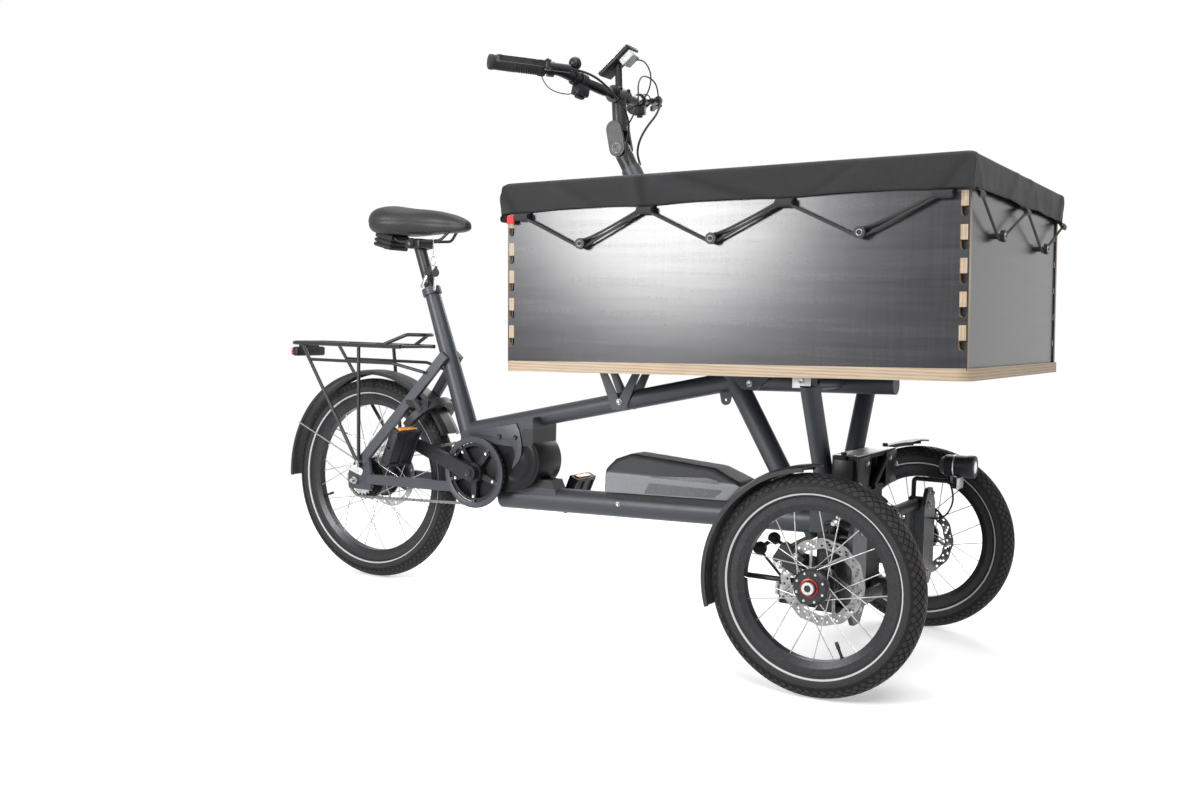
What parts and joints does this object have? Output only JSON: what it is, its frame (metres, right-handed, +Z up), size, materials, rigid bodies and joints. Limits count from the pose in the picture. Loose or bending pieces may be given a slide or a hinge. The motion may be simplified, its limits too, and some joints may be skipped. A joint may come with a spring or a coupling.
{
  "type": "cargo tricycle",
  "caption": "Pedal-assist cargo tricycle with a covered plywood box over two leaning, steered front wheels and one chain-driven rear wheel",
  "frame": {"origin": "On the ground, under the middle of the tricycle's length and width.", "axes": "+X forward to the box end, +Y to the rider's left, +Z up."},
  "size_m": [1.8604, 0.749, 1.2729],
  "materials": {
    "frame_paint": "matt anthracite powder coat",
    "black_paint": "satin black coat",
    "steel": "bare steel",
    "alloy": "machined aluminium",
    "black_alloy": "black anodised aluminium",
    "chrome": "bright plated",
    "tyre": "moulded tyre with reflective side stripe",
    "rubber": "ribbed rubber",
    "plastic": "moulded black plastic",
    "battery_shell": "two-tone grey shell",
    "screen": "glossy screen",
    "lamp_red": "red lens",
    "ply": "black film-faced plywood with pale cut edges",
    "cloth": "black coated cover cloth",
    "cord": "elastic cord",
    "saddle": "black saddle cover"
  },
  "bodies": {
    "frame": {"main_frame": "frame_paint", "rear_stays": "frame_paint", "front_carrier": "frame_paint", "motor_unit": "black_alloy", "battery_rail": "plastic", "rear_rack": "black_paint", "tail_light": "lamp_red", "rear_fender": "plastic", "ring_lock": "plastic", "rear_axle": "steel", "chain": "steel", "box_floor": "ply", "box_panels": "ply", "box_brackets": "frame_paint", "cord_knobs": "plastic"},
    "cover": {"box_cover": "cloth", "cover_cord": "cord"},
    "battery": {"battery_pack": "battery_shell"},
    "seat": {"seat_post": "alloy", "saddle": "saddle"},
    "steer": {"steering_shaft": "black_alloy"},
    "cockpit": {"stem": "black_alloy", "handlebar": "black_alloy", "grips": "rubber", "bar_controls": "black_alloy", "display": "screen", "control_cables": "rubber"},
    "lever_right": {"brake_lever_right": "black_alloy"},
    "lever_left": {"brake_lever_left": "black_alloy"},
    "crank": {"crank_arms": "black_alloy", "chainring": "black_alloy"},
    "pedal_r": {"pedal_right": "plastic"},
    "pedal_l": {"pedal_left": "plastic"},
    "sprocket": {"rear_sprocket": "steel"},
    "rear_wheel": {"rear_tyre": "tyre", "rear_rim": "black_alloy", "rear_spokes": "steel", "rear_hub": "black_alloy", "rear_rotor": "steel"},
    "wheel_right": {"front_right_tyre": "tyre", "front_right_rim": "black_alloy", "front_right_spokes": "steel", "front_right_hub": "black_alloy", "front_right_rotor": "steel"},
    "wheel_left": {"front_left_tyre": "tyre", "front_left_rim": "black_alloy", "front_left_spokes": "steel", "front_left_hub": "black_alloy", "front_left_rotor": "steel"},
    "beam_upper": {"upper_beam": "frame_paint"},
    "beam_lower": {"lower_beam": "frame_paint"},
    "upright_r": {"upright_right": "alloy"},
    "upright_l": {"upright_left": "alloy"},
    "knuckle_r": {"knuckle_right": "black_alloy", "front_right_fender": "plastic"},
    "knuckle_l": {"knuckle_left": "black_alloy", "front_left_fender": "plastic", "headlight": "plastic"},
    "ball_r": {"tie_rod_ball": "steel"},
    "tie": {"tie_rod": "steel"}
  },
  "joints": [
    {"name": "steering", "type": "hinge", "parent": "frame", "child": "steer", "pos_m": [0.342, 0, 0.5435], "axis": [-0.509, 0, 0.8607], "range_deg": [-35, 35]},
    {"name": "stem_tilt", "type": "hinge", "parent": "steer", "child": "cockpit", "pos_m": [0.04364, 0, 1.048], "axis": [0, 1, 0], "range_deg": [-30, 15], "deforming": ["control_cables"]},
    {"name": "lever_left_pull", "type": "hinge", "parent": "cockpit", "child": "lever_left", "pos_m": [0.00493, 0.24262, 1.19114], "axis": [0, 0, 1], "range_deg": [0, 12], "stiffness_Nm_per_rad": 0.6},
    {"name": "lever_right_pull", "type": "hinge", "parent": "cockpit", "child": "lever_right", "pos_m": [0.00493, -0.24262, 1.19114], "axis": [0, 0, -1], "range_deg": [0, 12], "stiffness_Nm_per_rad": 0.6},
    {"name": "lean", "type": "hinge", "parent": "frame", "child": "beam_upper", "pos_m": [0.677, 0, 0.29], "axis": [1, 0, 0], "range_deg": [-12, 12], "stiffness_Nm_per_rad": 900},
    {"name": "lean_lower", "type": "hinge", "parent": "frame", "child": "beam_lower", "pos_m": [0.677, 0, 0.145], "axis": [1, 0, 0], "range_deg": [-12, 12]},
    {"name": "upright_right_level", "type": "hinge", "parent": "beam_upper", "child": "upright_r", "pos_m": [0.677, -0.215, 0.29], "axis": [1, 0, 0], "range_deg": [-12, 12]},
    {"name": "upright_left_level", "type": "hinge", "parent": "beam_upper", "child": "upright_l", "pos_m": [0.677, 0.215, 0.29], "axis": [1, 0, 0], "range_deg": [-12, 12]},
    {"name": "knuckle_right_steer", "type": "hinge", "parent": "upright_r", "child": "knuckle_r", "pos_m": [0.658, -0.25, 0.2175], "axis": [0, 0, 1], "range_deg": [-35, 35]},
    {"name": "knuckle_left_steer", "type": "hinge", "parent": "upright_l", "child": "knuckle_l", "pos_m": [0.658, 0.25, 0.2175], "axis": [0, 0, 1], "range_deg": [-35, 35]},
    {"name": "wheel_right_roll", "type": "hinge", "parent": "knuckle_r", "child": "wheel_right", "pos_m": [0.658, -0.3245, 0.2025], "axis": [0, 1, 0], "continuous": true},
    {"name": "wheel_left_roll", "type": "hinge", "parent": "knuckle_l", "child": "wheel_left", "pos_m": [0.658, 0.3245, 0.2025], "axis": [0, 1, 0], "continuous": true},
    {"name": "tie_ball_turn", "type": "hinge", "parent": "knuckle_r", "child": "ball_r", "pos_m": [0.568, -0.25, 0.172], "axis": [0, 0, 1], "range_deg": [-35, 35]},
    {"name": "tie_rod_lean", "type": "hinge", "parent": "ball_r", "child": "tie", "pos_m": [0.568, -0.25, 0.172], "axis": [1, 0, 0], "range_deg": [-12, 12]},
    {"name": "crank_turn", "type": "hinge", "parent": "frame", "child": "crank", "pos_m": [-0.299, 0, 0.301], "axis": [0, 1, 0], "continuous": true, "deforming": ["chain"]},
    {"name": "pedal_right_turn", "type": "hinge", "parent": "crank", "child": "pedal_r", "pos_m": [-0.45879, -0.14, 0.35602], "axis": [0, 1, 0], "continuous": true},
    {"name": "pedal_left_turn", "type": "hinge", "parent": "crank", "child": "pedal_l", "pos_m": [-0.13921, 0.14, 0.24598], "axis": [0, 1, 0], "continuous": true},
    {"name": "sprocket_turn", "type": "hinge", "parent": "frame", "child": "sprocket", "pos_m": [-0.656, -0.0535, 0.253], "axis": [0, 1, 0], "continuous": true},
    {"name": "rear_wheel_roll", "type": "hinge", "parent": "frame", "child": "rear_wheel", "pos_m": [-0.656, 0, 0.253], "axis": [0, 1, 0], "continuous": true},
    {"name": "seat_height", "type": "slide", "parent": "frame", "child": "seat", "axis": [-0.3437, 0, 0.9391], "range_m": [-0.08, 0.1]},
    {"name": "cover_lift", "type": "slide", "parent": "frame", "child": "cover", "axis": [0.7071, 0, 0.7071], "range_m": [0, 0.6], "deforming": ["cover_cord"]},
    {"name": "battery_lift", "type": "slide", "parent": "frame", "child": "battery", "axis": [0, 0, 1], "range_m": [0, 0.03]}
  ],
  "couplings": [
    {"joint": "lean_lower", "follows": "lean", "ratio": 1},
    {"joint": "upright_right_level", "follows": "lean", "ratio": -1},
    {"joint": "upright_left_level", "follows": "lean", "ratio": -1},
    {"joint": "tie_rod_lean", "follows": "lean", "ratio": 0.8606},
    {"joint": "knuckle_right_steer", "follows": "steering", "ratio": 1},
    {"joint": "knuckle_left_steer", "follows": "steering", "ratio": 1},
    {"joint": "tie_ball_turn", "follows": "steering", "ratio": -1},
    {"joint": "sprocket_turn", "follows": "crank_turn", "ratio": 1.7273}
  ]
}
